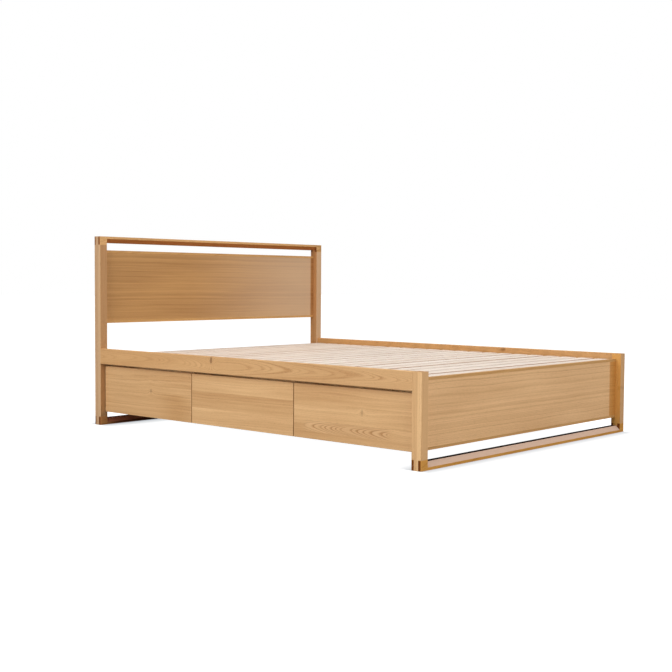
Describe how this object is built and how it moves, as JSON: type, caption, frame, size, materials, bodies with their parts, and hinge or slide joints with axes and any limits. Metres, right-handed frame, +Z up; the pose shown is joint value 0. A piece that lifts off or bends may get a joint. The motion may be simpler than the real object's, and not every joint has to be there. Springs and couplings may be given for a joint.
{
  "type": "platform bed with storage drawers",
  "caption": "Low oak platform bed with open framed ends, a panelled headboard, a slatted top and wide drawers that slide out of its sides.",
  "frame": {"origin": "on the floor, under the middle of the bed", "axes": "+Z up; +Y from the foot towards the headboard; +X across the bed, the left side being -X"},
  "size_m": [1.66, 2.1, 0.96],
  "materials": {
    "oak": "solid oak, clear matt oil",
    "oak_veneer": "straight-grained oak veneer, clear matt oil",
    "pine": "planed, unfinished",
    "birch_ply": "sanded, clear sealed",
    "beech": "planed and waxed",
    "zinc_steel": "bright zinc plate"
  },
  "bodies": {
    "frame": {"centre_leg_foot": "oak", "centre_leg_head": "oak", "centre_spine": "birch_ply", "drawer_runners": "beech", "foot_floor_rail": "oak", "foot_panel": "oak_veneer", "foot_panel_lippings": "oak", "foot_post_left": "oak", "foot_post_right": "oak", "head_floor_rail": "oak", "head_lower_panel": "oak_veneer", "head_lower_panel_lippings": "oak", "head_post_left": "oak", "head_post_right": "oak", "head_top_rail": "oak", "head_upper_panel": "oak_veneer", "head_upper_panel_lippings": "oak", "panel_dowels": "beech", "partition_1": "birch_ply", "partition_2": "birch_ply", "partition_3": "birch_ply", "partition_4": "birch_ply", "post_catch_plates": "zinc_steel", "rail_hook_plates": "zinc_steel", "side_rail_left": "oak", "side_rail_right": "oak", "slat_ledger_left": "pine", "slat_ledger_right": "pine", "slat_screws": "zinc_steel", "slats": "pine"},
    "drawer_left_1": {"drawer_left_1_back": "birch_ply", "drawer_left_1_bottom": "birch_ply", "drawer_left_1_foot_side": "birch_ply", "drawer_left_1_front": "oak", "drawer_left_1_head_side": "birch_ply"},
    "drawer_left_2": {"drawer_left_2_back": "birch_ply", "drawer_left_2_bottom": "birch_ply", "drawer_left_2_foot_side": "birch_ply", "drawer_left_2_front": "oak", "drawer_left_2_head_side": "birch_ply"},
    "drawer_left_3": {"drawer_left_3_back": "birch_ply", "drawer_left_3_bottom": "birch_ply", "drawer_left_3_foot_side": "birch_ply", "drawer_left_3_front": "oak", "drawer_left_3_head_side": "birch_ply"},
    "drawer_right_1": {"drawer_right_1_back": "birch_ply", "drawer_right_1_bottom": "birch_ply", "drawer_right_1_foot_side": "birch_ply", "drawer_right_1_front": "oak", "drawer_right_1_head_side": "birch_ply"},
    "drawer_right_2": {"drawer_right_2_back": "birch_ply", "drawer_right_2_bottom": "birch_ply", "drawer_right_2_foot_side": "birch_ply", "drawer_right_2_front": "oak", "drawer_right_2_head_side": "birch_ply"},
    "drawer_right_3": {"drawer_right_3_back": "birch_ply", "drawer_right_3_bottom": "birch_ply", "drawer_right_3_foot_side": "birch_ply", "drawer_right_3_front": "oak", "drawer_right_3_head_side": "birch_ply"}
  },
  "joints": [
    {"name": "drawer_left_1_slide", "type": "slide", "parent": "frame", "child": "drawer_left_1", "axis": [-1, 0, 0], "range_m": [0, 0.45]},
    {"name": "drawer_left_2_slide", "type": "slide", "parent": "frame", "child": "drawer_left_2", "axis": [-1, 0, 0], "range_m": [0, 0.45]},
    {"name": "drawer_left_3_slide", "type": "slide", "parent": "frame", "child": "drawer_left_3", "axis": [-1, 0, 0], "range_m": [0, 0.45]},
    {"name": "drawer_right_1_slide", "type": "slide", "parent": "frame", "child": "drawer_right_1", "axis": [1, 0, 0], "range_m": [0, 0.45]},
    {"name": "drawer_right_2_slide", "type": "slide", "parent": "frame", "child": "drawer_right_2", "axis": [1, 0, 0], "range_m": [0, 0.45]},
    {"name": "drawer_right_3_slide", "type": "slide", "parent": "frame", "child": "drawer_right_3", "axis": [1, 0, 0], "range_m": [0, 0.45]}
  ]
}
